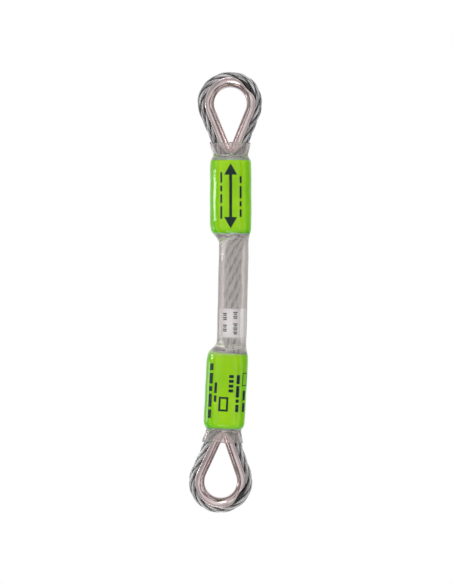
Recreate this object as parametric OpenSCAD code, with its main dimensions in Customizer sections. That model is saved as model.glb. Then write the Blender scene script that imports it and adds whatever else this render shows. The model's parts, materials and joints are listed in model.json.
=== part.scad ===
// Wire rope sling: one rope with a thimble eye at each end, two pressed ferrules
// and a clear heat-shrink sleeve. The sling hangs along Z and its eyes lie in the
// XZ plane. The origin is the centre of the upper eye's crown.

/* [Sling] */
// Length between the insides of the two eyes
sling_length = 199.2; // [190:0.2:400]
// Sideways distance from the upper eye's centre to the lower eye's centre
eye_shift = -4.7; // [-6:0.1:-3]
// Lean of the lower end in the plane of the eyes, in degrees
lower_lean = 3; // [2:0.1:4]

/* [Rope] */
// Nominal diameter of the rope
rope_d = 6; // [5.6:0.1:6.2]
// Length in which a strand makes one turn round the rope
lay_length = 41; // [36:1:48]

/* [Thimbles] */
// Radius of the seat inside the crown
seat_r = 7.9; // [7.6:0.1:8.4]
// Width of the cylindrical seat
seat_w = 2.4; // [1.5:0.1:3]
// Slope of each leg from the eye's axis, in degrees
leg_slope = 22; // [21:0.5:23]
// Thickness of the thimble's sheet
sheet_t = 1.6; // [1.2:0.05:1.7]
// Height of the flanges above the seat
flange_h = 3.9; // [3:0.1:4.2]

/* [Ferrules and labels] */
// Outer diameter of a ferrule
ferrule_d = 15; // [14.6:0.1:15.2]
// Length of a ferrule
ferrule_l = 36; // [34:0.5:40]
// Distance from the upper eye's centre to its ferrule
upper_throat = 27.2; // [26.5:0.1:28]
// Distance from the lower eye's centre to its ferrule
lower_throat = 26.2; // [26:0.1:28]
// Thickness of a label
label_t = 0.15; // [0.1:0.05:0.2]
// Length of the serial tag
tag_l = 14.4; // [10:0.1:18]

/* [Sleeve] */
// Outer diameter of the sleeve over a ferrule
sleeve_d = 20; // [19.2:0.1:20.5]
// Outer diameter of the sleeve between the ferrules
sleeve_mid_d = 14.4; // [13:0.1:15]
// Bore of the sleeve between the ferrules
sleeve_bore_d = 7; // [6.9:0.1:7.4]

/* [Hidden] */
STRAND_NAMES = ["core_strand", "strand_1", "strand_2", "strand_3", "strand_4", "strand_5", "strand_6"];
$fn = 72;

STEEL = "#9a9c9e";
BRIGHT = "#cfc6c4";
ALUMINIUM = "#b9bcc0";
LABEL_GREEN = "#93d400";
CLEAR = [0.8, 0.78, 0.76, 0.4];
PAPER = "#e6dcde";

// Thimble section: a round channel whose outside is cut flat at the seat
groove_r = rope_d / 2 + 0.15;
shell_r = groove_r + sheet_t;
seat_to_rope = sqrt(pow(shell_r, 2) - pow(seat_w / 2, 2));
crown_r = seat_r + seat_to_rope;
crown_turn = 180 + 2 * leg_slope;
tip_gap = 0.3;
leg_marks = [21.4, 19.1];

// Ferrule: two parallel bores, belled at both ends, beside an axis set off from the eye
axis_x = 0.5;
limb_x = 3.2;
bore_r = 3.05;
bell_r = 3.65;
bell_l = 3.4;
shoulder_l = 2.4;
shoulder_h = 0.8;
skin_gap = 0.05;
label_r = ferrule_d / 2 + skin_gap + label_t;

// Distances from an eye's centre at which its end hands over to the middle
upper_split = 72;
lower_split = 68.4;
split_gap = 0.3;
exit_start = 60;

// Rope strands, a little thinner than nominal so that neighbours stay clear
strand_r = rope_d / 6 - 0.1;
helix_r = rope_d / 3;
strand_sides = 6;
ring_step = 2.5;
limb_bend_r = 12;

// Centre of the lower eye, and the axis of the sleeve between the two ends
lower_z = -(sling_length - 2 * seat_r);
mid_upper_x = 1.65;
mid_lower_x = 1.69;
mid_top = [mid_upper_x, -upper_split];
mid_low = to_lower([mid_lower_x, -lower_split]);
mid_vec = mid_low - mid_top;
mid_l = norm(mid_vec);
mid_lean = atan2(mid_vec[0], mid_vec[1]) + 180;

// Serial tag: a slit wrap of the rope just above the middle's lower end
tag_t = 0.15;
tag_r = 3.3;
tag_wrap = 350;
tag_slit_at = 95;
tag_offset = mid_l - tag_l - 1.4;

// A point of the upper end's own [x, z] plane, moved to the mirrored lower end
function to_lower(p) = [
  eye_shift + p[0] * cos(lower_lean) - p[1] * sin(lower_lean),
  lower_z - p[0] * sin(lower_lean) - p[1] * cos(lower_lean)
];

function ease(t) = t * t * (3 - 2 * t);
function mix(a, b, t) = a + (b - a) * t;

// Half of the rope's route in an end's own plane, from the side limb round the crown.
// side is 1 for the limb that goes on to the other end and -1 for the dead end.
function limb_at(side) = axis_x + side * limb_x;
function corner_d(side) = (crown_r - abs(limb_at(side)) * cos(leg_slope)) / sin(leg_slope);
function bend_len() = limb_bend_r * tan(leg_slope / 2);

// The bend from a ferrule's bore into the sloping leg
function limb_bend(side) = [
  for (i = [0:8])
    let (a = leg_slope * i / 8)
    [limb_at(side) + side * limb_bend_r * (1 - cos(a)),
     -corner_d(side) - bend_len() + limb_bend_r * sin(a)]
];

// The crown, from the dead end's leg over the top to the live leg
function crown() = [
  for (i = [0:48])
    let (a = 90 + crown_turn / 2 - crown_turn * i / 48)
    crown_r * [cos(a), sin(a)]
];

function reverse(list) = [for (i = [len(list) - 1:-1:0]) list[i]];

// The live limb's shift from the ferrule's bore to the middle of the sleeve
function exit_shift(split, middle_x) = [
  for (i = [0:12])
    let (t = i / 12)
    [mix(limb_at(1), middle_x, ease(t)), -mix(exit_start, split, t)]
];

// Rope in one end: from the dead end's cut face to the middle of the sleeve
function end_route(throat, split, middle_x) = concat(
  [[limb_at(-1), -throat - ferrule_l]],
  limb_bend(-1),
  crown(),
  reverse(limb_bend(1)),
  exit_shift(split, middle_x)
);

upper_route = end_route(upper_throat, upper_split, mid_upper_x);
lower_route = [for (p = reverse(end_route(lower_throat, lower_split, mid_lower_x))) to_lower(p)];

// Straight stretches get points of their own so that the twist stays even
fill_step = 1.5;
function fill(a, b) =
  let (n = max(1, ceil(norm(b - a) / fill_step)))
  [for (i = [0:n - 1]) mix(a, b, i / n)];
rough = concat(upper_route, [for (p = lower_route) if (p[1] < mid_low[1]) p]);
route = concat(
  [for (i = [0:len(rough) - 2]) each fill(rough[i], rough[i + 1])],
  [rough[len(rough) - 1]]
);

// Running length along the route
steps = [for (i = [1:len(route) - 1]) norm(route[i] - route[i - 1])];
along = [for (i = 0, s = 0; i < len(route); s = s + (i < len(steps) ? steps[i] : 0), i = i + 1) s];
x_by_s = [for (i = [0:len(route) - 1]) [along[i], route[i][0]]];
z_by_s = [for (i = [0:len(route) - 1]) [along[i], route[i][1]]];
total = along[len(along) - 1];

function on_route(s) = [lookup(s, x_by_s), lookup(s, z_by_s)];
heading_reach = 0.8;
function heading(s) =
  let (a = on_route(max(0, s - heading_reach)), b = on_route(min(total, s + heading_reach)))
  (b - a) / norm(b - a);

// Running length at which the rope, on its way down, passes a height
function crossing(z) =
  let (hits = [for (i = [1:len(route) - 1])
    if (route[i - 1][1] >= z && route[i][1] < z)
      mix(along[i - 1], along[i], (route[i - 1][1] - z) / (route[i - 1][1] - route[i][1]))])
  hits[0];
split_upper = crossing(mid_top[1]);
split_lower = crossing(mid_low[1]);

// A ring of points round one strand; k is 0 for the core and 1 to 6 round it
function strand_ring(s, k) =
  let (
    p = on_route(s),
    h = heading(s),
    n = [h[1], 0, -h[0]],
    b = [0, 1, 0],
    turn = 360 * s / lay_length + 60 * k,
    out = cos(turn) * n + sin(turn) * b,
    round = cos(turn) * b - sin(turn) * n,
    centre = [p[0], 0, p[1]] + (k == 0 ? 0 : helix_r) * out
  )
  [for (j = [0:strand_sides - 1])
    let (a = -360 * j / strand_sides)
    centre + strand_r * (cos(a) * out + sin(a) * round)];

// Side faces between rings of n points, and the two caps
function side_faces(rings, n) = [
  for (i = [0:rings - 2])
    for (j = [0:n - 1])
      let (a = i * n + j, b = i * n + (j + 1) % n)
      each [[a, b, b + n], [a, b + n, a + n]]
];
function caps(rings, n) = [
  [for (j = [n - 1:-1:0]) j],
  [for (j = [0:n - 1]) (rings - 1) * n + j]
];

module strand(from, to, k) {
  count = ceil((to - from) / ring_step);
  points = [for (i = [0:count]) each strand_ring(mix(from, to, i / count), k)];
  faces = concat(side_faces(count + 1, strand_sides), caps(count + 1, strand_sides));
  color(STEEL) polyhedron(points, faces);
}

module to_lower_end() {
  translate([eye_shift, 0, lower_z]) rotate([0, lower_lean, 0]) mirror([0, 0, 1]) children();
}

// Half angle of an arc of radius r, about the rope's centre, that reaches the flanges' edge
function rim_angle(r) = acos((seat_to_rope - flange_h) / r);
function channel_arc(r, n) = [
  for (i = [0:n - 1])
    let (a = rim_angle(r) * (2 * i / (n - 1) - 1))
    [seat_to_rope - r * cos(a), r * sin(a)]
];
// Outside of the channel one way, then its groove the other way, as [height, side]
channel_n = 11;
channel = concat(channel_arc(shell_r, channel_n), reverse(channel_arc(groove_r, channel_n)));

// Ring of the thimble at an angle round the crown, then down_leg along the leg from there.
// Where the two legs would cross, their inner corners are mitred back to half the tip gap.
function thimble_ring(angle, down_leg) =
  let (
    side = cos(angle) > 0 ? 1 : -1,
    leg = [-side * sin(leg_slope), -cos(leg_slope)] * down_leg
  )
  [for (c = channel)
    let (p = (seat_r + c[0]) * [cos(angle), sin(angle)] + leg)
    [down_leg > 0 ? side * max(tip_gap / 2, side * p[0]) : p[0], c[1], p[1]]];

// The end of the channel, closed between its outside and its groove
function channel_cap(start, flip) = [
  for (i = [0:channel_n - 2])
    let (a = start + i, b = a + 1, c = start + 2 * channel_n - 2 - i, d = c + 1)
      each flip ? [[a, b, c], [a, c, d]] : [[c, b, a], [d, c, a]]
];

module thimble() {
  turns = 28;
  first = -leg_slope;
  last = 180 + leg_slope;
  rings = concat(
    [for (d = leg_marks) thimble_ring(first, d)],
    [for (i = [0:turns]) thimble_ring(mix(first, last, i / turns), 0)],
    [for (d = reverse(leg_marks)) thimble_ring(last, d)]
  );
  n = len(channel);
  faces = concat(side_faces(len(rings), n), channel_cap(0, false), channel_cap((len(rings) - 1) * n, true));
  color(BRIGHT)
    difference() {
      polyhedron([for (r = rings) each r], faces);
      rotate([90, 0, 0]) cylinder(r = seat_r, h = 4 * shell_r, center = true);
    }
}

// One side of a barrel of radius r with tapered shoulders, from its top edge down
function barrel_side(throat, r) = [
  [r - shoulder_h, -throat], [r, -throat - shoulder_l],
  [r, -throat - ferrule_l + shoulder_l], [r - shoulder_h, -throat - ferrule_l]
];

module limb_bore(side, throat) {
  translate([side * limb_x, 0, -throat - ferrule_l - 1]) cylinder(r = bore_r, h = ferrule_l + 2);
  translate([side * limb_x, 0, -throat - bell_l]) cylinder(r1 = bore_r, r2 = bell_r, h = bell_l + 0.01);
  translate([side * limb_x, 0, -throat - ferrule_l - 0.01])
    cylinder(r1 = bell_r, r2 = bore_r, h = bell_l);
}

module ferrule(throat) {
  color(ALUMINIUM)
    translate([axis_x, 0, 0])
      difference() {
        rotate_extrude()
          polygon(concat([[0, -throat]], barrel_side(throat, ferrule_d / 2), [[0, -throat - ferrule_l]]));
        limb_bore(1, throat);
        limb_bore(-1, throat);
      }
}

module label(throat) {
  color(LABEL_GREEN)
    translate([axis_x, 0, 0])
      rotate_extrude()
        polygon(concat(barrel_side(throat, label_r), reverse(barrel_side(throat, label_r - label_t))));
}

// Stations along an end's sleeve: distance from the eye, centre, half width and half depth.
// It starts as a flat mouth round both legs, necks in above the ferrule and steps down after it.
sleeve_sides = 48;
sleeve_r = sleeve_d / 2;
mid_r = sleeve_mid_d / 2;
skin_r = (label_r + skin_gap) / cos(180 / sleeve_sides);
mouth_d = 19.5;
function outer_stations(throat, split, middle_x) = [
  [mouth_d, -0.1, 9.9, 6.2], [mouth_d + 1.1, -0.1, 9.75, 6.1],
  [mouth_d + 3.3, 0, 9.05, 6.2], [throat - 1.6, 0.1, 8.2, 5.9],
  [throat, axis_x, sleeve_r - 0.85, sleeve_r - 1.1], [throat + 0.9, axis_x, sleeve_r - 0.3, sleeve_r - 0.35],
  [throat + shoulder_l, axis_x, sleeve_r, sleeve_r],
  [throat + ferrule_l - shoulder_l, axis_x, sleeve_r, sleeve_r],
  [throat + ferrule_l - 0.6, axis_x + 0.05, sleeve_r - 0.5, sleeve_r - 0.5],
  [throat + ferrule_l + 1, 0.9, sleeve_r - 1.4, sleeve_r - 1.5],
  [throat + ferrule_l + 2.4, 1.4, mid_r + 0.45, mid_r + 0.45],
  [throat + ferrule_l + 4, middle_x + 0.1, mid_r, mid_r],
  [split, middle_x, mid_r, mid_r]
];
function inner_stations(throat, split, middle_x) = [
  [mouth_d, 0, 9.2, 5.4], [mouth_d + 1.1, 0, 9.0, 5.3],
  [mouth_d + 3.3, 0.05, 8.3, 5.4], [throat - 1.6, 0.15, 7.3, 5.0],
  [throat - 0.15, axis_x, skin_r - 0.7, skin_r - 0.7], [throat + shoulder_l, axis_x, skin_r, skin_r],
  [throat + ferrule_l - shoulder_l, axis_x, skin_r, skin_r],
  [throat + ferrule_l + 0.2, axis_x, skin_r - 0.65, skin_r - 0.65],
  [throat + ferrule_l + 3.4, 1.95, 4.2, 4.2],
  [split, middle_x, sleeve_bore_d / 2, sleeve_bore_d / 2]
];

function station_ring(st) = [
  for (j = [0:sleeve_sides - 1])
    let (a = 360 * j / sleeve_sides)
    [st[1] + st[2] * cos(a), st[3] * sin(a), -st[0]]
];

module lofted(stations) {
  points = [for (st = stations) each station_ring(st)];
  rings = len(stations);
  polyhedron(points, concat(side_faces(rings, sleeve_sides), caps(rings, sleeve_sides)));
}

// The bore runs on past both ends of the sleeve so that it cuts right through
function shifted(st, move) = [for (i = [0:3]) i == 0 ? st[0] + move : st[i]];
function pushed_out(stations) = concat(
  [shifted(stations[0], -0.5)],
  [for (i = [1:len(stations) - 2]) stations[i]],
  [shifted(stations[len(stations) - 1], 0.5)]
);

module end_sleeve(throat, split, middle_x) {
  color(CLEAR)
    difference() {
      lofted(outer_stations(throat, split, middle_x));
      lofted(pushed_out(inner_stations(throat, split, middle_x)));
    }
}

module on_mid_axis() {
  translate([mid_top[0], 0, mid_top[1]]) rotate([0, mid_lean, 0]) mirror([0, 0, 1]) children();
}

module middle_sleeve() {
  color(CLEAR)
    on_mid_axis()
      translate([0, 0, split_gap])
        difference() {
          cylinder(d = sleeve_mid_d, h = mid_l - 2 * split_gap);
          translate([0, 0, -1]) cylinder(d = sleeve_bore_d, h = mid_l + 2);
        }
}

module serial_tag() {
  color(PAPER)
    on_mid_axis()
      translate([0, 0, tag_offset])
        rotate([0, 0, tag_slit_at])
          rotate_extrude(angle = tag_wrap) translate([tag_r, 0]) square([tag_t, tag_l]);
}

thimble();  // upper_thimble
ferrule(upper_throat);  // upper_ferrule
label(upper_throat);  // upper_label
end_sleeve(upper_throat, upper_split, mid_upper_x);  // upper_sleeve
middle_sleeve();
serial_tag();
to_lower_end() thimble();  // lower_thimble
to_lower_end() ferrule(lower_throat);  // lower_ferrule
to_lower_end() label(lower_throat);  // lower_label
to_lower_end() end_sleeve(lower_throat, lower_split, mid_lower_x);  // lower_sleeve
for (k = [0:6]) {
  strand(0, split_upper, k);
  strand(split_upper, split_lower, k);
  strand(split_lower, total, k);
}
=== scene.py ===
"""Wire rope sling: the looks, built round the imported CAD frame.

Sizes are in millimetres until a mesh is made. Meshes, lights and the camera are in metres.
"""

import json
from math import acos, cos, pi, radians, sin, tan

import bmesh
import bpy
import numpy as np
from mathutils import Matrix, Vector


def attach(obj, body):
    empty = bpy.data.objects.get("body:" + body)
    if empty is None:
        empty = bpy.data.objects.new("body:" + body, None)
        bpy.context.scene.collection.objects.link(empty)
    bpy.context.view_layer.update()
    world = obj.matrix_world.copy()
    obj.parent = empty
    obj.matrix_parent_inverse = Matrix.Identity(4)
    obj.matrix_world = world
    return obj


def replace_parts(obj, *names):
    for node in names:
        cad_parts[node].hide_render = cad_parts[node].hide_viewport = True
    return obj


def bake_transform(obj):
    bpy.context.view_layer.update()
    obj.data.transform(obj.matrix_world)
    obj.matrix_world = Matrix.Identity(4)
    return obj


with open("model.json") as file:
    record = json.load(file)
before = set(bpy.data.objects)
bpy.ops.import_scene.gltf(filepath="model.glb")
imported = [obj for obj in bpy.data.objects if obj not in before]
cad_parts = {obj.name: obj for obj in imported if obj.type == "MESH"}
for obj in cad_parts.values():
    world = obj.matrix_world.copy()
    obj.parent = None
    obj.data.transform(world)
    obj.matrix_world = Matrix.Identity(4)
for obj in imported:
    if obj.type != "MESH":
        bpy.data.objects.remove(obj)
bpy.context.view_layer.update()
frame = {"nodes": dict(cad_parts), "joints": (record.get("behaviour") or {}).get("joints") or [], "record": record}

MM = 0.001
TURN = 2 * pi

# ---------------------------------------------------------------- dimensions, in millimetres
# The lower end is the upper one turned upside down about its own eye, and leans
MOUNTS = {m["name"]: m for m in frame["record"]["mounts"]}
JOINTS = {j["name"]: j for j in frame["joints"]}
SEAT_R = MOUNTS["upper_eye"]["dims"]["r_mm"]
LOWER_EYE = np.array(MOUNTS["lower_eye"]["pos_m"])[[0, 2]] / MM
LOWER_LEAN = radians(3)

# Rope: a core strand and six outer strands, each of outer wires round a filled middle
ROPE_STEP = 0.6
ROPE_LAY = 41.0
STRAND_HELIX_R = 2.0
WIRES = 10
WIRE_R = 0.235
WIRE_HELIX_R = 0.755
WIRE_LAY = 14.0
WIRE_WOBBLE = 0.012
FILL_R = WIRE_HELIX_R - 0.08

# Where the rope stands off the thimble's crown: angle and width in degrees, height
UPPER_BULGES = ((165, 28, 0.7), (48, 16, 0.35))
LOWER_BULGES = ((150, 20, 0.2), (65, 25, -0.3))

# Thimble: a channel with a flat seat, whose flanges dip beside the crown and at the tip
SEAT_W = 2.4
SHEET_T = 1.6
GROOVE_R = 3.15
SHELL_R = GROOVE_R + SHEET_T
SEAT_TO_ROPE = (SHELL_R ** 2 - (SEAT_W / 2) ** 2) ** 0.5
CROWN_R = SEAT_R + SEAT_TO_ROPE
FLANGE_H = 3.9
CROWN_DIP = 2.0
CROWN_DIP_ANGLE = 0.42
TIP_DIP = 1.5
TIP_START = 17
TIP_L = 6
TIP_GAP = 0.12
LEG_SLOPE = radians(22)
LEG_STATIONS = (22.6, 22.0, 21.2, 20.0, 18.0, 15.0, 12.0, 9.0, 6.0, 3.0)
LIMB_BEND_R = 12.0

# Ferrule and label
AXIS_X = 0.5
LIMB_X = 3.2
UPPER_THROAT = 27.2
LOWER_THROAT = 26.2
FERRULE_L = 36.0
SHOULDER_L = 2.4
SHOULDER_H = 0.8
LABEL_R = 7.7
LABEL_T = 0.15
LABEL_SIDES = 96
INK_LIFTS = (0.035, 0.005)

# Between the ferrules, as distances from each end's own eye and places across it
EXIT_START = 60.0
UPPER_SPLIT = 72.0
LOWER_SPLIT = 68.4
UPPER_MID_X = 1.65
LOWER_MID_X = 1.69

# Tag
TAG_R = 3.6
TAG_L = 14.4
TAG_T = 0.12
TAG_SHIFT = -0.35
TAG_TURN = radians(4)
TAG_SKEW = 0.004
TAG_WRAP = 0.97
TAG_TO_SPLIT = 1.4

# Sleeve
SLEEVE_R = 10.08
MID_R = 7.2
SLEEVE_STEP = 0.5
SLEEVE_SIDES = 96
MOUTH_D = 19.3
MOUTH_FADE = 0.7
CREASES = 24
CREASE_STEPS = 22
CREASE_SIDES = 5
WINDOW_HALF = 5.1
WINDOW_EDGE = 0.5

# ---------------------------------------------------------------- looks
# Wires: tone of each, with painted shade in grooves and gaps and painted light (paler) in the middle of the sleeve
WIRE_TONES = (0.3, 0.88)
# The filled middle is dark: painted shade in the gaps between the wires
FILL_SHADE_TONE = -0.3
GROOVE_TOP = 2.85
GROOVE_SHADE = 0.9
GAP_DARK = 2.0
GAP_ANGLE = 0.45
GAP_EDGE = 0.8
# Painted light: the rope is made paler under the milky tube
TUBE_PAINTED_LIGHT = 0.3
TUBE_TOP = 64
TUBE_FOOT = 123
TUBE_EDGE = 3

# Label: painted shade, a darker green at its lower edge and round its sides
LABEL_SHADE_GREEN = (0.05, 0.62, 0.005)
EDGE_SHADE = 0.8
EDGE_FADE = 1.1
SIDE_SHADE = 0.4
SIDE_START = 4.8
SIDE_FADE = 3.0

# Sleeve below the origin, in metres: clear over the labels, milky between them, hazy at its mouths
CLEAR = (1.0, (0.99, 0.99, 0.97))
MILKY = (0.8, (0.71, 0.655, 0.635))
HAZY = (0.9, (0.86, 0.81, 0.8))
ZONE_REACH = 0.2
ZONES = ((0.0255, HAZY), (0.0285, CLEAR), (0.0625, CLEAR), (0.0645, MILKY),
         (0.1200, MILKY), (0.1225, CLEAR), (0.1560, CLEAR), (0.1590, HAZY))

# Brightness of the surroundings in reflections, from straight ahead (0) to straight behind (1)
SKY_BANDS = ((0.0, 0.42), (0.12, 0.75), (0.23, 1.0), (0.29, 0.12), (0.37, 0.12), (0.43, 1.0),
             (0.56, 0.8), (0.64, 0.08), (0.74, 0.12), (0.88, 0.8))
WORLD_LIGHT = 1.85

# Lights, in metres from the middle of the view: place, size, watts
LIGHTS = {
    "pane_high": ((-0.56, 0.1, 0.075), (0.2, 0.06), 0.3),
    "pane_low": ((-0.52, 0.24, -0.07), (0.16, 0.1), 0.12),
    "top": ((-0.1, -0.35, 0.65), (0.3, 0.1), 0.7),
    "low": ((-0.1, -0.35, -0.38), (0.3, 0.1), 0.4),
}
FLOOR_Z = -0.5
FLOOR_R = 0.75
VIEW_CENTRE = Vector((-2.14 * MM, 0, -91.46 * MM))
CAMERA_DISTANCE = 0.9
FRAME_HEIGHT = 0.2835
SENSOR = 36.0


# ---------------------------------------------------------------- where the two ends are
def as_is(points):
    """Points [x, z] of the upper end, which is where it was drawn."""
    return np.asarray(points, float)


def to_lower(points):
    """Points [x, z] of the upper end's own plane, moved to the mirrored, leaning lower end."""
    points = np.asarray(points, float)
    x, z = points[..., 0], points[..., 1]
    c, s = cos(LOWER_LEAN), sin(LOWER_LEAN)
    return np.stack([LOWER_EYE[0] + x * c - z * s, LOWER_EYE[1] - x * s - z * c], axis=-1)


# gap: the angle where the crown's flange dips. label: its two edges from the throat.
# step_in, step_out: how far the sleeve's steps are from the ferrule's faces.
ENDS = {
    "upper": {"place": as_is, "throat": UPPER_THROAT, "body": "upper_end", "gap": radians(42),
              "middle_x": UPPER_MID_X, "label": (0.9, 35.7), "step_in": -0.8, "step_out": 0.0},
    "lower": {"place": to_lower, "throat": LOWER_THROAT, "body": "lower_end", "gap": radians(30),
              "middle_x": LOWER_MID_X, "label": (0.4, 35.9), "step_in": 0.0, "step_out": 1.3},
}

MID_TOP = np.array([UPPER_MID_X, -UPPER_SPLIT])
MID_LOW = to_lower([LOWER_MID_X, -LOWER_SPLIT])
MID_DIR = (MID_LOW - MID_TOP) / np.linalg.norm(MID_LOW - MID_TOP)
MEET_Z = (JOINTS["bend_in_plane"]["pos_m"][2] + JOINTS["bend_out_of_plane"]["pos_m"][2]) / 2 / MM
MEET = MID_TOP + MID_DIR * ((MEET_Z - MID_TOP[1]) / MID_DIR[1])


def end_axes(end):
    """The middle of an end's eye, and its own sideways and upward directions."""
    centre = end["place"]([0, 0])
    return centre, end["place"]([1, 0]) - centre, end["place"]([0, 1]) - centre


# ---------------------------------------------------------------- sums
def ease(t):
    """A smooth step from 0 to 1."""
    t = np.clip(t, 0, 1)
    return t * t * (3 - 2 * t)


def unit(v):
    return v / np.linalg.norm(v, axis=-1, keepdims=True)


def blur(values, sigma):
    reach = int(3 * sigma)
    kernel = np.exp(-0.5 * (np.arange(-reach, reach + 1) / sigma) ** 2)
    padded = np.concatenate([np.full(reach, values[0]), values, np.full(reach, values[-1])])
    return np.convolve(padded, kernel / kernel.sum(), "valid")


def ring_angles(sides):
    return np.arange(sides) * TURN / sides


# ---------------------------------------------------------------- mesh helpers
def mesh_object(name, points, faces, material):
    """A smooth mesh from millimetre points and arrays of quads or triangles."""
    mesh = bpy.data.meshes.new(name)
    rows = outward(points, faces)
    loops = np.concatenate([r.ravel() for r in rows])
    sizes = np.concatenate([np.full(len(r), r.shape[1], np.int32) for r in rows])
    mesh.vertices.add(len(points))
    mesh.vertices.foreach_set("co", (np.asarray(points, np.float64) * MM).astype(np.float32).ravel())
    mesh.loops.add(len(loops))
    mesh.loops.foreach_set("vertex_index", loops)
    mesh.polygons.add(len(sizes))
    mesh.polygons.foreach_set("loop_start", np.concatenate([[0], np.cumsum(sizes)[:-1]]).astype(np.int32))
    mesh.polygons.foreach_set("use_smooth", np.full(len(sizes), True))
    mesh.update(calc_edges=True)
    mesh.validate()
    obj = bpy.data.objects.new(name, mesh)
    bpy.context.scene.collection.objects.link(obj)
    mesh.materials.append(material)
    return obj


def outward(points, faces):
    """The faces, all turned round if they face into the piece they enclose."""
    rows = [np.asarray(f, np.int32) for f in faces]
    points = np.asarray(points, float)
    points = points - points[rows[0]].reshape(-1, 3).mean(0)
    volume = 0
    for r in rows:
        for k in range(1, r.shape[1] - 1):
            a, b, c = points[r[:, 0]], points[r[:, k]], points[r[:, k + 1]]
            volume += np.einsum("ij,ij->i", a, np.cross(b, c)).sum()
    return [r[:, ::-1] for r in rows] if volume < 0 else rows


def grid_quads(rows, cols, closed=True, start=0, flip=False):
    """Quads between rows of points. Closed rows are rings."""
    i = np.arange(rows - 1)[:, None]
    j = np.arange(cols if closed else cols - 1)[None, :]
    a = i * cols + j
    b = i * cols + (j + 1) % cols
    quads = np.stack([a, b, b + cols, a + cols], axis=-1).reshape(-1, 4) + start
    return quads[:, ::-1] if flip else quads


def fan(ring, centre, flip=False):
    """Triangles from a centre point to a ring of point numbers."""
    ring = np.asarray(ring)
    tris = np.stack([ring, np.roll(ring, -1), np.full(len(ring), centre)], axis=-1)
    return tris[:, ::-1] if flip else tris


def capped_tube(rings, sides, start=0):
    """Quads and triangles of a tube whose points are its rings, then the middles of its two ends."""
    base = start + rings * sides
    first = start + np.arange(sides)
    caps = [fan(first, base, True), fan(first + (rings - 1) * sides, base + 1)]
    return grid_quads(rings, sides, start=start), np.concatenate(caps)


def slab(rows, cols, start=0):
    """Quads of a thin sheet whose points are one grid and then the same grid on its other side."""
    size = rows * cols
    rim = np.concatenate([np.arange(cols), np.arange(1, rows) * cols + cols - 1,
                          (rows - 1) * cols + np.arange(cols - 2, -1, -1), np.arange(rows - 2, 0, -1) * cols])
    walls = np.stack([rim, rim + size, np.roll(rim, -1) + size, np.roll(rim, -1)], axis=-1) + start
    sheets = [grid_quads(rows, cols, False, start), grid_quads(rows, cols, False, start + size, True)]
    return np.concatenate([*sheets, walls])


def weld(obj):
    """Joins points that lie at the same place."""
    bm = bmesh.new()
    bm.from_mesh(obj.data)
    bmesh.ops.remove_doubles(bm, verts=bm.verts, dist=1e-7)
    bm.to_mesh(obj.data)
    bm.free()


def store(obj, name, values):
    """Stores one number for each point of a mesh."""
    data = obj.data.attributes.new(name, "FLOAT", "POINT")
    data.data.foreach_set("value", np.asarray(values, dtype=np.float32))


# ---------------------------------------------------------------- shader helpers, which return an output
def new_material(name):
    material = bpy.data.materials.new(name)
    material.use_nodes = True
    tree = material.node_tree
    return material, tree, tree.nodes["Principled BSDF"]


def ramp(tree, source, stops):
    """A colour ramp with (place, colour) stops."""
    node = tree.nodes.new("ShaderNodeValToRGB")
    while len(node.color_ramp.elements) < len(stops):
        node.color_ramp.elements.new(0.5)
    for element, (place, colour) in zip(node.color_ramp.elements, stops):
        element.position = place
        element.color = (*colour, 1)
    tree.links.new(source, node.inputs["Fac"])
    return node.outputs["Color"]


def noise(tree, scale, detail=3, stretch=(1, 1, 1), space="Object"):
    """A noise texture that stays on the piece."""
    place = tree.nodes.new("ShaderNodeTexCoord")
    mapping = tree.nodes.new("ShaderNodeMapping")
    mapping.inputs["Scale"].default_value = stretch
    node = tree.nodes.new("ShaderNodeTexNoise")
    node.inputs["Scale"].default_value = scale
    node.inputs["Detail"].default_value = detail
    tree.links.new(place.outputs[space], mapping.inputs["Vector"])
    tree.links.new(mapping.outputs["Vector"], node.inputs["Vector"])
    return node.outputs["Fac"]


def attribute(tree, name):
    """A number stored on the mesh's points."""
    node = tree.nodes.new("ShaderNodeAttribute")
    node.attribute_name = name
    return node.outputs["Fac"]


def maths(tree, operation, first, *rest):
    """A sum of an output with numbers or other outputs."""
    node = tree.nodes.new("ShaderNodeMath")
    node.operation = operation
    tree.links.new(first, node.inputs[0])
    for socket, value in zip(node.inputs[1:], rest):
        if isinstance(value, (int, float)):
            socket.default_value = value
        else:
            tree.links.new(value, socket)
    return node.outputs[0]


def between(tree, source, low, high):
    """Low where the source is 0, high where it is 1."""
    node = tree.nodes.new("ShaderNodeMapRange")
    node.inputs["To Min"].default_value = low
    node.inputs["To Max"].default_value = high
    tree.links.new(source, node.inputs["Value"])
    return node.outputs["Result"]


def mixed(tree, share, first, second):
    """A colour between two, each an output or a colour. A share of 1 gives the second."""
    node = tree.nodes.new("ShaderNodeMix")
    node.data_type = "RGBA"
    tree.links.new(share, node.inputs[0])
    for socket, value in ((node.inputs[6], first), (node.inputs[7], second)):
        if isinstance(value, tuple):
            socket.default_value = (*value, 1)
        else:
            tree.links.new(value, socket)
    return node.outputs[2]


def add_bump(tree, shader, height, strength, distance):
    bump = tree.nodes.new("ShaderNodeBump")
    bump.inputs["Strength"].default_value = strength
    bump.inputs["Distance"].default_value = distance
    tree.links.new(height, bump.inputs["Height"])
    tree.links.new(bump.outputs["Normal"], shader.inputs["Normal"])


def make_dull(shader, roughness):
    """No shine of its own, as the clear film over it has that."""
    shader.inputs["Roughness"].default_value = roughness
    shader.inputs["Specular IOR Level"].default_value = 0.0


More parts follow.
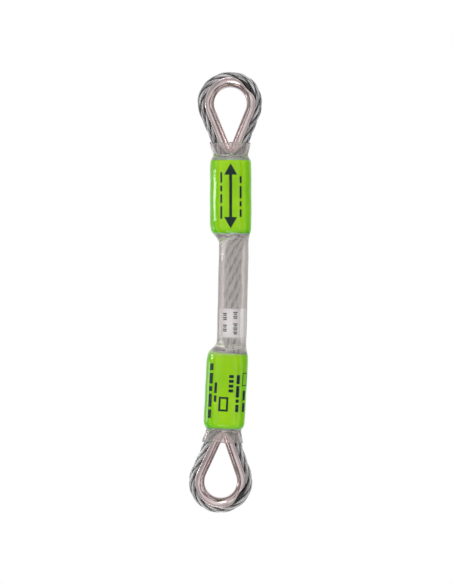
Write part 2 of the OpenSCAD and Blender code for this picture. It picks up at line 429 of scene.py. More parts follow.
# ---------------------------------------------------------------- materials
def wire_material():
    """Galvanised wire: zinc grey with a per-wire tone, which also carries painted shade in grooves and gaps and
    painted light under the milky tube, and spangle.
    """
    material, tree, shader = new_material("galvanised_wire")
    shader.inputs["Metallic"].default_value = 0.7
    spangle = noise(tree, 900, 4)
    tone = maths(tree, "MULTIPLY_ADD", spangle, 0.45, attribute(tree, "tone"))
    greys = [(0.2, (0.07, 0.07, 0.07)), (0.6, (0.3, 0.295, 0.295)), (1.0, (0.66, 0.65, 0.65))]
    tree.links.new(ramp(tree, tone, greys), shader.inputs["Base Color"])
    tree.links.new(between(tree, spangle, 0.28, 0.5), shader.inputs["Roughness"])
    return material


def thimble_material():
    """Polished, bright-plated thimble with a faint pink cast and fine pressing marks."""
    material, tree, shader = new_material("bright_thimble")
    shader.inputs["Metallic"].default_value = 1.0
    cloud = noise(tree, 160, 4)
    pinks = [(0.3, (0.66, 0.54, 0.54)), (0.7, (0.84, 0.73, 0.72))]
    tree.links.new(ramp(tree, cloud, pinks), shader.inputs["Base Color"])
    streak = noise(tree, 700, 3, (0.3, 1, 1))
    tree.links.new(between(tree, streak, 0.1, 0.26), shader.inputs["Roughness"])
    add_bump(tree, shader, cloud, 0.25, 0.0004)
    return material


def ferrule_material():
    """Pressed aluminium, dull, with swaging streaks along the barrel."""
    material, tree, shader = new_material("pressed_aluminium")
    shader.inputs["Metallic"].default_value = 1.0
    shader.inputs["Roughness"].default_value = 0.42
    streak = noise(tree, 500, 4, (1, 1, 0.15))
    greys = [(0.3, (0.4, 0.41, 0.43)), (0.7, (0.62, 0.63, 0.65))]
    tree.links.new(ramp(tree, streak, greys), shader.inputs["Base Color"])
    add_bump(tree, shader, streak, 0.3, 0.0002)
    return material


def label_material():
    """Lime-green printed film, a little uneven in tone, with painted shade of darker green at its lower edge and
    sides.
    """
    material, tree, shader = new_material("green_label")
    limes = [(0.3, (0.33, 0.7, 0.0)), (0.7, (0.43, 0.8, 0.0))]
    tone = ramp(tree, noise(tree, 90, 3), limes)
    colour = mixed(tree, attribute(tree, "edge"), tone, LABEL_SHADE_GREEN)
    tree.links.new(colour, shader.inputs["Base Color"])
    make_dull(shader, 0.5)
    return material


def ink_material():
    """Dark ink, slightly worn so that it isn't one flat tone."""
    material, tree, shader = new_material("label_ink")
    darks = [(0.3, (0.003, 0.02, 0.022)), (0.8, (0.01, 0.035, 0.035))]
    tree.links.new(ramp(tree, noise(tree, 1500, 2), darks), shader.inputs["Base Color"])
    make_dull(shader, 0.5)
    return material


def paper_material():
    """Matt white tag paper with a fibre grain."""
    material, tree, shader = new_material("tag_paper")
    fibre = noise(tree, 2500, 5, (1, 1, 0.4))
    whites = [(0.25, (0.86, 0.82, 0.84)), (0.7, (0.95, 0.91, 0.93))]
    tree.links.new(ramp(tree, fibre, whites), shader.inputs["Base Color"])
    shader.inputs["Roughness"].default_value = 0.8
    add_bump(tree, shader, fibre, 0.2, 0.0001)
    return material


def crease_highlight_material():
    """White creases in the film: a painted highlight, standing in for glints on the wrinkled film."""
    material, tree, shader = new_material("crease_highlight_film")
    whites = [(0.3, (0.75, 0.74, 0.72)), (0.7, (0.98, 0.97, 0.95))]
    tree.links.new(ramp(tree, noise(tree, 800, 2), whites), shader.inputs["Base Color"])
    make_dull(shader, 0.6)
    return material


def sleeve_material():
    """Clear heat-shrink with a milky, pinkish-grey cast away from the labels and shrink lines along it."""
    material, tree, shader = new_material("clear_shrink")
    shader.inputs["IOR"].default_value = 1.48
    down, window = attribute(tree, "down"), attribute(tree, "window")
    clear = ramp(tree, down, [(z / ZONE_REACH, (zone[0],) * 3) for z, zone in ZONES])
    tint = ramp(tree, down, [(z / ZONE_REACH, zone[1]) for z, zone in ZONES])
    through = maths(tree, "MAXIMUM", clear, window)
    tree.links.new(through, shader.inputs["Transmission Weight"])
    tree.links.new(mixed(tree, window, tint, CLEAR[1]), shader.inputs["Base Color"])
    haze = noise(tree, 220, 3, (1, 1, 0.4))
    tree.links.new(between(tree, haze, 0.04, 0.16), shader.inputs["Roughness"])
    amount = maths(tree, "MULTIPLY_ADD", through, -1, 1.015)
    height = maths(tree, "MULTIPLY", noise(tree, 620, 4, (1, 1, 0.16)), amount)
    add_bump(tree, shader, height, 1.0, 0.0012)
    return material


# ---------------------------------------------------------------- the rope's route
def limb_at(side):
    """The place across an end of its dead limb (-1) or live limb (1)."""
    return AXIS_X + side * LIMB_X


def limb_bend(side):
    """The bend from a ferrule's bore into the sloping leg of the eye."""
    corner = (CROWN_R - abs(limb_at(side)) * cos(LEG_SLOPE)) / sin(LEG_SLOPE)
    a = np.linspace(0, LEG_SLOPE, 9)
    x = limb_at(side) + side * LIMB_BEND_R * (1 - np.cos(a))
    z = -corner - LIMB_BEND_R * tan(LEG_SLOPE / 2) + LIMB_BEND_R * np.sin(a)
    return np.stack([x, z], axis=-1)


def crown(bulges):
    """The crown, with the stiff rope standing off the thimble where each (angle, width, height) says."""
    half = pi / 2 + LEG_SLOPE
    a = pi / 2 + np.linspace(half, -half, 81)
    r = CROWN_R + sum(h * np.exp(-(np.degrees(a) - at) ** 2 / (2 * w * w)) for at, w, h in bulges)
    return r[:, None] * np.stack([np.cos(a), np.sin(a)], axis=-1)


def exit_shift(split, middle_x):
    """The live limb's shift from the ferrule's bore to the middle of the sleeve."""
    t = np.linspace(0, 1, 13)
    x = limb_at(1) + (middle_x - limb_at(1)) * ease(t)
    return np.stack([x, -(EXIT_START + (split - EXIT_START) * t)], axis=-1)


def end_route(throat, split, middle_x, bulges):
    """From the dead end in the ferrule, round the eye and back to the middle rope."""
    dead_end = [[limb_at(-1), -throat - FERRULE_L]]
    eye = [limb_bend(-1), crown(bulges), limb_bend(1)[::-1]]
    return np.concatenate([dead_end, *eye, exit_shift(split, middle_x)])


def rope_route():
    """Evenly spaced points [x, z] along the whole rope, and their running length."""
    upper = end_route(UPPER_THROAT, UPPER_SPLIT, UPPER_MID_X, UPPER_BULGES)
    lower = to_lower(end_route(LOWER_THROAT, LOWER_SPLIT, LOWER_MID_X, LOWER_BULGES)[::-1])
    rough = np.concatenate([upper, lower[lower[:, 1] < MID_LOW[1]]])
    length = np.concatenate([[0], np.cumsum(np.linalg.norm(np.diff(rough, axis=0), axis=1))])
    s = np.arange(0, length[-1], ROPE_STEP)
    points = np.stack([np.interp(s, length, rough[:, k]) for k in (0, 1)], axis=-1)
    smooth = points.copy()
    for k in (0, 1):
        smooth[3:-3, k] = np.convolve(points[:, k], np.ones(7) / 7, "valid")
    return smooth, s


def along_rope():
    """The route's centre points, its frame and its running length, as arrays of 3-D vectors."""
    route, s = rope_route()
    centre = np.stack([route[:, 0], np.zeros(len(s)), route[:, 1]], axis=-1)
    tangent = unit(np.gradient(centre, axis=0))
    across = np.tile([0.0, 1.0, 0.0], (len(s), 1))
    return centre, np.cross(across, tangent), across, s


# ---------------------------------------------------------------- rope
def helix_round(centre, out, round_, radius, angle):
    """A line that runs round a centre line at a radius, and its own outward and sideways directions."""
    c, s = np.cos(angle)[:, None], np.sin(angle)[:, None]
    radial = c * out + s * round_
    line = centre + radius * radial
    tangent = unit(np.gradient(line, axis=0))
    side = unit(np.cross(tangent, radial))
    return line, unit(np.cross(side, tangent)), side


def tube_rings(line, out, side, radius, sides):
    """Rings of points round a line. The radius is a number, or a column with one for each ring."""
    a = ring_angles(sides)[None, :, None]
    ring = np.cos(a) * out[:, None, :] + np.sin(a) * side[:, None, :]
    return line[:, None, :] + radius * ring


def gap_shade(points):
    """Painted shade: how dark the rope is painted in the gaps that it leaves beside each thimble's crown."""
    shade = 0
    for end in ENDS.values():
        centre, side, up = end_axes(end)
        flat = points[..., [0, 2]] - centre
        reach = np.linalg.norm(flat, axis=-1)
        angle = np.arctan2(flat @ up, flat @ side)
        near = np.exp(-((angle - end["gap"]) / GAP_ANGLE) ** 4)
        shade = shade + GAP_DARK * near * ease((CROWN_R + GAP_EDGE / 2 - reach) / GAP_EDGE)
    return shade


def tube_painted_light(points):
    """Painted light: how much paler the rope is painted where the milky tube covers it."""
    down = -points[..., 2]
    return TUBE_PAINTED_LIGHT * ease((down - TUBE_TOP) / TUBE_EDGE) * ease((TUBE_FOOT - down) / TUBE_EDGE)


def wires(line, out, side, s, rng):
    """Each wire of a strand, then its filled middle: line, directions, radius, sides and tone."""
    for w in range(WIRES):
        turn = TURN * w / WIRES - TURN * s / WIRE_LAY
        wobble = WIRE_WOBBLE * np.sin(s * rng.uniform(0.5, 0.9) + rng.uniform(0, TURN))
        wire, w_out, w_side = helix_round(line, out, side, WIRE_HELIX_R, turn)
        yield wire + wobble[:, None] * w_out, w_out, w_side, WIRE_R, 6, rng.uniform(*WIRE_TONES)
    # The filled middle's dark tone is painted shade seen between the wires
    yield line, out, side, FILL_R, 10, FILL_SHADE_TONE


def strand_piece(name, first, last, k, rope, material, rng):
    """Strand k of the rope between two ring numbers. Strand 0 is the core."""
    centre, normal, across, s = rope
    angle = TURN * s / ROPE_LAY + TURN * k / 6
    strand = helix_round(centre, normal, across, 0 if k == 0 else STRAND_HELIX_R, angle)
    cut = slice(first, last)
    points, quads, tris, tones, count = [], [], [], [], 0
    for wire, out, side, radius, sides, tone in wires(*strand, s, rng):
        rings = tube_rings(wire[cut], out[cut], side[cut], radius, sides)
        points += [rings.reshape(-1, 3), wire[cut][[0, -1]]]
        tube_quads, caps = capped_tube(len(rings), sides, count)
        quads.append(tube_quads)
        tris.append(caps)
        depth = GROOVE_TOP - np.linalg.norm(rings - centre[cut][:, None], axis=2)
        # Painted shade in the strand grooves and beside the crowns, and painted light under the milky tube, taken
        # off each wire's own tone
        painted_shade_and_light = GROOVE_SHADE * np.clip(depth, 0, 1) + gap_shade(rings) - tube_painted_light(rings)
        tones.append(np.append(tone - painted_shade_and_light.ravel(), (tone, tone)))
        count += len(rings) * sides + 2
    obj = mesh_object(name, np.concatenate(points), [np.concatenate(quads), np.concatenate(tris)], material)
    store(obj, "tone", np.concatenate(tones))
    return obj


# ---------------------------------------------------------------- joints
def bend_upper(obj):
    pivot = np.array(JOINTS["bend_in_plane"]["pos_m"])
    return bend_about(obj)


def bend_lower(obj):
    pivot = np.array(JOINTS["bend_out_of_plane"]["pos_m"])
    return bend_about(obj)


def bend_about(obj):
    """Bakes the piece's placement into its mesh points."""
    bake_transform(obj)
    return obj


def make_rope(material):
    """Seven strands, each in an upper and a lower half that meet at mid-span."""
    rope = along_rope()
    rng = np.random.default_rng(7)
    centre, s = rope[0], rope[3]
    past_eye = s > 3 * CROWN_R
    meet = int(np.argmax(past_eye & (centre[:, 2] < MEET_Z)))
    for k in range(7):
        name = "core_strand" if k == 0 else f"strand_{k}"
        upper = strand_piece(f"rope_upper_{name}", 0, meet + 1, k, rope, material, rng)
        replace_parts(bend_upper(upper), f"upper_{name}", f"middle_{name}")
        lower = strand_piece(f"rope_lower_{name}", meet, len(s), k, rope, material, rng)
        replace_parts(bend_lower(lower), f"lower_{name}")


# ---------------------------------------------------------------- thimbles
def channel_arc(radius, flange_h, first, steps):
    """An arc of the channel's section as [height, side] points, starting on side first (-1 or 1)."""
    rim = acos((SEAT_TO_ROPE - flange_h) / radius)
    a = np.linspace(first * rim, -first * rim, steps)
    return np.stack([SEAT_TO_ROPE - radius * np.cos(a), radius * np.sin(a)], axis=-1)


def rim_arc(p, q):
    """The rounded edge of a flange between its two faces' last points."""
    mid, half = (p + q) / 2, (q - p) / 2
    up = np.array([abs(half[1]) * 0.8, 0])
    t = np.linspace(0, pi, 7)[1:-1]
    return mid - np.cos(t)[:, None] * half + np.sin(t)[:, None] * up


def channel_section(flange_h):
    """The channel's outline: flat-bottomed outside, rounded rim, groove, rounded rim."""
    outside = channel_arc(SHELL_R, flange_h, -1, 25)
    outside[:, 0] = np.maximum(outside[:, 0], 0)
    groove = channel_arc(GROOVE_R, flange_h, 1, 21)
    return np.concatenate([outside, rim_arc(outside[-1], groove[0]), groove, rim_arc(groove[-1], outside[0])])


def thimble_path():
    """Stations along the thimble: angle round the crown, distance down the leg."""
    angles = np.linspace(-LEG_SLOPE, pi + LEG_SLOPE, 73)
    down = np.concatenate([LEG_STATIONS, np.zeros(len(angles)), LEG_STATIONS[::-1]])
    turn = np.pad(angles, len(LEG_STATIONS), mode="edge")
    return turn, down


def thimble_piece(name, end, material):
    """The thimble as one swept channel."""
    rings = []
    for a, d in zip(*thimble_path()):
        side = 1 if cos(a) > 0 else -1
        leg = np.array([-side * sin(LEG_SLOPE), -cos(LEG_SLOPE)]) * d
        near_gap = np.exp(-((a - end["gap"]) / CROWN_DIP_ANGLE) ** 2) if d == 0 else 0
        dip = CROWN_DIP * near_gap + TIP_DIP * ease((d - TIP_START) / TIP_L)
        section = channel_section(FLANGE_H - dip)
        xz = (SEAT_R + section[:, :1]) * np.array([cos(a), sin(a)]) + leg
        if d > 0:
            xz[:, 0] = side * np.maximum(TIP_GAP, side * xz[:, 0])
        xz = end["place"](xz)
        rings.append(np.stack([xz[:, 0], section[:, 1], xz[:, 1]], axis=-1))
    tips = [rings[0].mean(0), rings[-1].mean(0)]
    return mesh_object(name, np.concatenate([*rings, tips]), capped_tube(len(rings), len(rings[0])), material)


def make_thimbles(material):
    for name, end in ENDS.items():
        thimble = thimble_piece(f"{name}_thimble_channel", end, material)
        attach(thimble, end["body"])
        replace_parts(thimble, f"{name}_thimble")


# ---------------------------------------------------------------- labels
def label_radius(d, throat):
    """The label's outer radius at a distance from the eye, rounded over the ferrule's shoulders."""
    edge = np.minimum(d - throat, throat + FERRULE_L - d)
    t = np.clip(edge / SHOULDER_L, 0, 1)
    return LABEL_R - SHOULDER_H * (1 - t) ** 2


def place_round(end, radius, angle, d):
    """Points on a barrel round an end's axis. Angle 0 faces the front and grows towards +X."""
    xz = end["place"](np.stack([AXIS_X + radius * np.sin(angle), -d], axis=-1))
    return np.stack([xz[..., 0], -radius * np.cos(angle), xz[..., 1]], axis=-1)


def label_shade(obj, end):
    """How much painted shade, a darker green, each point of a label gets: most at its lower edge, and less round
    its sides.
    """
    points = np.array([v.co for v in obj.data.vertices])[:, [0, 2]] / MM
    centre, side, up = end_axes(end)
    height = points @ (up if up[1] > 0 else -up)
    low = EDGE_SHADE * np.exp(-(height - height.min()) / EDGE_FADE)
    aside = np.abs((points - centre) @ side - AXIS_X)
    return np.clip(low + SIDE_SHADE * ease((aside - SIDE_START) / SIDE_FADE), 0, 1)


def label_film(name, end, material):
    """The label: a thin tube over the ferrule, closer together in points at its shoulders."""
    throat = end["throat"]
    first, last = end["label"]
    d = throat + np.concatenate([np.linspace(first, 3, 9), np.linspace(4, 32, 24), np.linspace(33, last, 9)])
    d, angle = np.meshgrid(d, ring_angles(LABEL_SIDES), indexing="ij")
    radius = label_radius(d, throat)
    outer = place_round(end, radius, angle, d)
    inner = place_round(end, radius - LABEL_T, angle, d)
    loop = np.concatenate([outer, inner[::-1], outer[:1]])
    obj = mesh_object(name, loop.reshape(-1, 3), [grid_quads(len(loop), LABEL_SIDES)], material)
    weld(obj)
    # The edge attribute holds the label's painted shade
    store(obj, "edge", label_shade(obj, end))
    return obj


def label_surface(end):
    """The label's face as a function of place round it, place along it and lift, in millimetres."""
    def surface(u, v, lift):
        d = end["throat"] + FERRULE_L / 2 + v
        return place_round(end, label_radius(d, end["throat"]) + lift, u / LABEL_R, d)
    return surface


# ---------------------------------------------------------------- ink
def bar(u, v, width, length, rounding=0.35):
    """A rounded bar as rows of [low u, high u, v]: its middle at u round the barrel and v along it."""
    r = min(rounding, width / 2, length / 2)
    straight = np.linspace(r, length - r, 5)[1:-1]
    t = np.concatenate([np.linspace(0, r, 5), straight, np.linspace(length - r, length, 5)])
    edge = np.minimum(t, length - t)
    half = width / 2 - r + np.sqrt(np.clip(r * r - np.clip(r - edge, 0, r) ** 2, 0, None))
    return np.stack([u - half, u + half, v - length / 2 + t], axis=-1)


def arrow_head(u, v, width, length):
    """A solid triangle that points towards larger v, or smaller v if length is negative."""
    t = np.linspace(0, 1, 7)
    half = width / 2 * (1 - t)
    return np.stack([u - half, u + half, v + length * t], axis=-1)


def bar_row(u, first, width, lengths, gap=1.0):
    """A row of bars along the label, from first towards larger v."""
    shapes = []
    for length in lengths:
        shapes.append(bar(u, first + length / 2, width, length, 0.3))
        first += length + gap
    return shapes


def frame_box(u, v, width, length, line):
    """An empty rectangular frame."""
    sides = [bar(u + k * (width - line) / 2, v, line, length, 0.1) for k in (-1, 1)]
    return sides + [bar(u, v + k * (length - line) / 2, width, line, 0.1) for k in (-1, 1)]


def upper_marks():
    """A generic load-direction mark: a double-headed arrow between two rows of plain bars."""
    shapes = [bar(-0.4, 0, 1.3, 22), arrow_head(-0.4, 10.2, 5.8, 5.4), arrow_head(-0.4, -10.2, 5.8, -5.4)]
    shapes += bar_row(-4.8, -11.5, 1.0, (5.2, 2.8, 4.4, 6.2), 1.3)
    return shapes + bar_row(4.2, -9.5, 1.0, (3.4, 6.0, 2.6, 3.8), 1.3)


def lower_marks():
    """Plain bars in rows where small print would be, and two empty frames."""
    shapes = bar_row(-8.2, -13.4, 2.2, (4.2, 6.4, 2.4, 5.2, 3.4), 1.2)
    shapes += bar_row(-5.2, -5.4, 1.4, (3.2, 5.2), 1.0)
    shapes += bar_row(1.9, -0.4, 2.2, (1.5, 1.5, 1.5, 1.5), 0.8)
    shapes += bar_row(5.3, -9.8, 1.8, (3.6, 1.6, 5.6, 4.4), 0.9)
    shapes += bar_row(9.8, -9.8, 2.4, (4.4, 4.8), 1.2)
    return shapes + frame_box(-1.2, -6.2, 4.4, 7.0, 0.95) + frame_box(9.8, 6.0, 4.0, 6.4, 0.45)


def tag_marks():
    """Two lines of short double bars, where a number would be: (place across, start, groups)."""
    shapes = []
    for u, v, groups in ((-2.5, -4.6, (2, 2)), (2.0, -5.3, (2, 3))):
        for count in groups:
            for k in range(count):
                shapes += [bar(u, v, 2.0, 0.5, 0.2), bar(u, v + 0.85, 1.5 + 0.3 * (k % 2), 0.5, 0.2)]
                v += 1.95
            v += 1.7
    return shapes


def ink_piece(name, shapes, surface, material):
    """Ink as a thin skin. Each shape is a strip of [low u, high u, v] rows laid on a surface."""
    cols = 9
    points, quads, count = [], [], 0
    for shape in shapes:
        u = shape[:, :1] + (shape[:, 1:2] - shape[:, :1]) * np.linspace(0, 1, cols)[None, :]
        v = np.repeat(shape[:, 2:3], cols, axis=1)
        points += [surface(u, v, lift).reshape(-1, 3) for lift in INK_LIFTS]
        quads.append(slab(len(shape), cols, count))
        count += 2 * len(shape) * cols
    return mesh_object(name, np.concatenate(points), [np.concatenate(quads)], material)


def make_labels(film, ink):
    for (name, end), marks in zip(ENDS.items(), (upper_marks(), lower_marks())):
        label = label_film(f"{name}_label_film", end, film)
        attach(label, end["body"])
        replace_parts(label, f"{name}_label")
        marks_piece = ink_piece(f"{name}_label_marks", marks, label_surface(end), ink)
        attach(marks_piece, end["body"])


# ---------------------------------------------------------------- tag
def tag_surface(u, v, lift):
    """The tag's face: a nearly full wrap of the rope, centred on the front."""
    start = MID_LOW - MID_DIR * (TAG_L / 2 + TAG_TO_SPLIT)
    side = np.array([-MID_DIR[1], MID_DIR[0]])
    angle = u / TAG_R - TAG_TURN + v * TAG_SKEW
    radius = TAG_R + lift
    xz = start + v[..., None] * MID_DIR + (radius * np.sin(angle) + TAG_SHIFT)[..., None] * side
    return np.stack([xz[..., 0], -radius * np.cos(angle), xz[..., 1]], axis=-1)


def make_tag(paper, ink):
    half = TAG_R * pi * TAG_WRAP
    v, u = np.meshgrid(np.linspace(-TAG_L / 2, TAG_L / 2, 25), np.linspace(-half, half, 97), indexing="ij")
    outer = tag_surface(u, v, 0).reshape(-1, 3)
    inner = tag_surface(u, v, -TAG_T).reshape(-1, 3)
    tag = mesh_object("serial_tag_paper", np.concatenate([outer, inner]), [slab(*u.shape)], paper)
    bend_lower(tag)
    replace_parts(tag, "serial_tag")
    marks = ink_piece("serial_tag_marks", tag_marks(), tag_surface, ink)
    bend_lower(marks)


def tag_window(points):
    """1 where the film lies flat over the front of the tag and stays clear, 0 elsewhere."""
    middle = tag_surface(np.array([0.0]), np.array([0.0]), 0)[0]
    side = np.array([MID_DIR[1], 0, -MID_DIR[0]])
    run = np.array([MID_DIR[0], 0, MID_DIR[1]])
    across = np.abs((points - middle) @ side)
    along = np.abs((points - middle) @ run)
    return ease((WINDOW_HALF - across) / WINDOW_EDGE + 0.5) * ease((TAG_L / 2 - along) / WINDOW_EDGE + 0.5)


# ---------------------------------------------------------------- sleeve
def sleeve_steps(end):
    """Distances from the eye where the sleeve steps up on to the ferrule and down off it."""
    return end["throat"] + end["step_in"], end["throat"] + FERRULE_L + end["step_out"]


def sleeve_stations(end):
    """Distance from the eye, centre, half width and half depth of the sleeve's outside."""
    start, finish = sleeve_steps(end)
    return np.array([
        [MOUTH_D, -0.1, 9.9, 6.2], [MOUTH_D + 1.2, -0.1, 9.75, 6.1], [MOUTH_D + 3.5, 0.0, 9.0, 6.2],
        [start - 1.0, 0.1, 8.2, 5.9], [start, 0.15, 9.0, 8.8], [start + 0.9, 0.15, 9.65, 9.6],
        [start + 2.2, 0.15, 9.95, 9.95], [start + 5.5, 0.15, SLEEVE_R, SLEEVE_R],
        [finish - 5, 0.15, SLEEVE_R, SLEEVE_R], [finish - 1.6, 0.25, 9.75, 9.75],
        [finish - 0.5, 0.4, 9.3, 9.3], [finish + 1.0, 0.95, 8.3, 8.3],
        [finish + 2.4, 1.4, 7.6, 7.6], [finish + 4.0, end["middle_x"], MID_R, MID_R],
        [UPPER_SPLIT + 4, end["middle_x"], MID_R, MID_R]])


def at_stations(d, stations):
    """Centre, half width and half depth at distances from the eye."""
    return [np.interp(d, stations[:, 0], stations[:, k]) for k in (1, 2, 3)]


def sleeve_half(end):
    """Ring centres, directions, half widths, half depths and distances, from a mouth to mid-span."""
    d = np.arange(MOUTH_D, UPPER_SPLIT, SLEEVE_STEP)
    centre, wide, deep = (blur(values, 1.3) for values in at_stations(d, sleeve_stations(end)))
    points = end["place"](np.stack([centre, -d], axis=-1))
    last = points[-1]
    rest = np.linalg.norm(MEET - last)
    steps = np.linspace(0, 1, int(rest / SLEEVE_STEP) + 1)[1:]
    points = np.concatenate([points, last + steps[:, None] * (MEET - last)])
    wide = np.concatenate([wide, np.full(len(steps), MID_R)])
    deep = np.concatenate([deep, np.full(len(steps), MID_R)])
    reach = np.concatenate([d, d[-1] + steps * rest])
    inward = MID_DIR if end["body"] == "upper_end" else -MID_DIR
    blend = ease((reach - end["throat"] - FERRULE_L) / 8)[:, None]
    direction = unit(-end_axes(end)[2] * (1 - blend) + inward * blend)
    return points, direction, wide, deep, reach


def sleeve_ripple(end, reach, a):
    """The small unevenness of shrunk film, deeper in the folds beside a ferrule's two ends."""
    finish = end["throat"] + FERRULE_L
    fold = np.exp(-((reach - finish - 1.6) / 1.6) ** 2) + 0.5 * np.exp(-(reach - end["throat"] + 0.4) ** 2)
    still = ease((reach[-1] - reach) / 10)
    even = 0.035 * np.sin(2 * a + 0.21 * reach) + 0.025 * np.sin(5 * a - 0.5 * reach)
    return still * even + fold * (0.1 * np.sin(7 * a + 1.1) + 0.07 * np.sin(11 * a + 0.4))


def mouth_tip(d, a):
    """How far the mouth's uneven edge reaches past its plane, fading away from the edge."""
    edge = 0.5 * np.abs(np.sin(a)) ** 12 + 0.18 * np.sin(3 * a + 0.6) + 0.1 * np.sin(8 * a)
    return np.exp(-(d - MOUTH_D) / MOUTH_FADE) * edge


def sleeve_rings(end):
    """The outside as rings of 3-D points."""
    points, direction, wide, deep, reach = sleeve_half(end)
    a, reach = ring_angles(SLEEVE_SIDES), reach[:, None]
    ripple = sleeve_ripple(end, reach, a)
    side = np.stack([-direction[:, 1], direction[:, 0]], axis=-1)
    if end["body"] == "lower_end":
        side = -side
    x = (wide[:, None] + ripple) * np.sin(a)
    y = -(deep[:, None] + ripple) * np.cos(a)
    tip = mouth_tip(reach, a)
    xz = points[:, None] + x[..., None] * side[:, None] - tip[..., None] * direction[:, None]
    return np.stack([xz[..., 0], y, xz[..., 1]], axis=-1)


def inner_rings(end):
    """The mouth's inside, from its rim down to the ferrule's face."""
    throat = end["throat"]
    stations = np.array([
        [MOUTH_D, -0.1, 9.6, 5.9], [MOUTH_D + 1.3, -0.05, 9.3, 5.6], [MOUTH_D + 3.5, 0.0, 8.5, 5.6],
        [throat - 1.5, 0.1, 7.6, 5.2], [throat - 0.05, AXIS_X, 6.9, 6.6]])
    d = np.linspace(stations[0, 0], stations[-1, 0], 16)[:, None]
    centre, wide, deep = at_stations(d, stations)
    a = ring_angles(SLEEVE_SIDES)
    ripple = 0.12 * np.sin(6 * a + 0.8) * ease((d - MOUTH_D - 1.2) / 3)
    xz = end["place"](np.stack([centre + (wide + ripple) * np.sin(a), -d + mouth_tip(d, a)], axis=-1))
    return np.stack([xz[..., 0], -(deep + ripple) * np.cos(a), xz[..., 1]], axis=-1)


def crease_tube(end, first, last, rng):
    """One crease, part of the way round inside the film, between two distances from the eye."""
    a = rng.uniform(0, TURN) + np.linspace(0, rng.uniform(0.5, 1.3), CREASE_STEPS)
    d = rng.uniform(first, last) + rng.uniform(-0.5, 0.5) * np.linspace(-1, 1, CREASE_STEPS)
    d = np.clip(d + 0.3 * np.sin(rng.uniform(5, 9) * a + rng.uniform(0, TURN)), first - 0.5, last + 0.8)
    centre, wide, deep = at_stations(d, sleeve_stations(end))
    sink = 1 - rng.uniform(0.04, 0.12)
    xz = end["place"](np.stack([centre + wide * sink * np.sin(a), -d], axis=-1))
    line = np.stack([xz[:, 0], -deep * sink * np.cos(a), xz[:, 1]], axis=-1)
    tangent = unit(np.gradient(line, axis=0))
    out = unit(line * (1, 1, 0) - (xz[:, 0].mean(), 0, 0) + 1e-6)
    side = unit(np.cross(tangent, out))
    girth = 0.05 + rng.uniform(0.08, 0.18) * np.sin(np.linspace(0, pi, CREASE_STEPS))
    rings = tube_rings(line, np.cross(side, tangent), side, girth[:, None, None], CREASE_SIDES)
    return np.concatenate([rings.reshape(-1, 3), line[[0, -1]]])


def crease_piece(name, end, material, rng):
    """Hair-thin white creases where the film steps over a ferrule's two ends: their white is a painted highlight
    for glints on the wrinkles.
    """
    start, finish = sleeve_steps(end)
    tubes = [crease_tube(end, finish - 0.2, finish + 3.0, rng) for _ in range(CREASES)]
    tubes += [crease_tube(end, start - 1.4, start + 0.2, rng) for _ in range(CREASES // 2)]
    faces = [capped_tube(CREASE_STEPS, CREASE_SIDES, k * len(tube)) for k, tube in enumerate(tubes)]
    quads, tris = (np.concatenate(parts) for parts in zip(*faces))
    return mesh_object(name, np.concatenate(tubes), [quads, tris], material)


def sleeve_piece(name, end, material):
    """The mouth's inside and the whole outside as one surface, which is open only at mid-span."""
    inner, outer = inner_rings(end), sleeve_rings(end)
    shell = np.concatenate([inner[::-1], outer]).reshape(-1, 3)
    points = np.concatenate([shell, [inner[-1].mean(0)]])
    floor = fan(np.arange(SLEEVE_SIDES), len(shell), True)
    obj = mesh_object(name, points, [grid_quads(len(inner) + len(outer), SLEEVE_SIDES), floor], material)
    store(obj, "down", -points[:, 2] * MM / ZONE_REACH)
    store(obj, "window", tag_window(points))
    return obj


def make_sleeve(film, crease):
    rng = np.random.default_rng(3)
    for name, end in ENDS.items():
        obj = sleeve_piece(f"{name}_shrink_sleeve", end, film)
        creases = crease_piece(f"{name}_sleeve_crease_highlights", end, crease, rng)
        if name == "upper":
            bend_upper(creases)
            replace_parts(bend_upper(obj), "upper_sleeve", "middle_sleeve")
        else:
            bend_lower(creases)
            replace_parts(bend_lower(obj), "lower_sleeve")


def dress_ferrules(material):
    """The ferrules are the CAD's own."""
    for name in ENDS:
        node = frame["nodes"][f"{name}_ferrule"]
        node.data.materials.clear()
        node.data.materials.append(material)


# ---------------------------------------------------------------- studio
def make_floor():
    """A round, pale floor that bright metal doesn't mirror."""
    rings, sides = 6, 64
    a = ring_angles(sides)
    r = np.linspace(0.001, FLOOR_R, rings)[:, None]
    x, y = r * np.cos(a), r * np.sin(a)
    points = np.stack([x, y, np.full_like(x, FLOOR_Z)], axis=-1).reshape(-1, 3)
    material, _, shader = new_material("pale_floor")
    shader.inputs["Base Color"].default_value = (0.6, 0.6, 0.6, 1)
    shader.inputs["Roughness"].default_value = 0.8
    floor = mesh_object("floor", points / MM, [grid_quads(rings, sides)], material)
    floor.visible_glossy = False


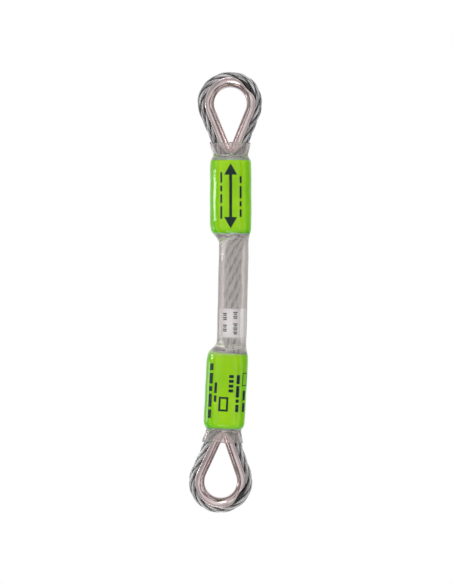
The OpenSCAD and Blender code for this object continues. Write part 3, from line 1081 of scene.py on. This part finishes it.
def area_light(name, place, size, power):
    """A soft box aimed at the middle of the view, seen only as a reflection."""
    light = bpy.data.lights.new(name, "AREA")
    light.shape = "RECTANGLE"
    light.size, light.size_y = size
    light.energy = power
    obj = bpy.data.objects.new(name, light)
    obj.location = VIEW_CENTRE + Vector(place)
    obj.rotation_euler = (-Vector(place)).to_track_quat("-Z", "Y").to_euler()
    obj.visible_camera = False
    obj.visible_transmission = False
    bpy.context.scene.collection.objects.link(obj)


def glossy_sky(tree):
    """What bright metal sees: soft boxes and dark gaps, in bands from the front round to the back."""
    place = tree.nodes.new("ShaderNodeTexCoord")
    axes = tree.nodes.new("ShaderNodeSeparateXYZ")
    tree.links.new(place.outputs["Generated"], axes.inputs["Vector"])
    wander = maths(tree, "MULTIPLY_ADD", noise(tree, 1.6, 1, space="Generated"), 0.5, 0.25)
    depth = maths(tree, "MULTIPLY_ADD", axes.outputs["Y"], 0.5, wander)
    return ramp(tree, depth, [(band, (light, light, light)) for band, light in SKY_BANDS])


def make_studio():
    """White all round, banded for reflections and brighter once light has met a matt surface."""
    world = bpy.data.worlds.new("studio")
    world.use_nodes = True
    tree = world.node_tree
    path = tree.nodes.new("ShaderNodeLightPath")
    back = tree.nodes["Background"]
    sky = mixed(tree, path.outputs["Is Glossy Ray"], (1, 1, 1), glossy_sky(tree))
    tree.links.new(sky, back.inputs["Color"])
    lit = maths(tree, "MINIMUM", path.outputs["Diffuse Depth"], 1)
    tree.links.new(between(tree, lit, 1, WORLD_LIGHT), back.inputs["Strength"])
    bpy.context.scene.world = world
    bpy.context.scene.view_settings.view_transform = "Standard"
    for name, (place, size, power) in LIGHTS.items():
        area_light(name, place, size, power)


def make_camera():
    """Looks along +Y at the middle of the hanging sling."""
    data = bpy.data.cameras.new("camera")
    data.sensor_width = SENSOR
    data.lens = SENSOR * CAMERA_DISTANCE / FRAME_HEIGHT
    camera = bpy.data.objects.new("camera", data)
    camera.location = VIEW_CENTRE + Vector((0, -CAMERA_DISTANCE, 0))
    camera.rotation_euler = (pi / 2, 0, 0)
    bpy.context.scene.collection.objects.link(camera)
    bpy.context.scene.camera = camera


def main():
    make_camera()
    make_studio()
    make_floor()
    ink = ink_material()
    make_rope(wire_material())
    make_thimbles(thimble_material())
    dress_ferrules(ferrule_material())
    make_labels(label_material(), ink)
    make_tag(paper_material(), ink)
    make_sleeve(sleeve_material(), crease_highlight_material())


main()
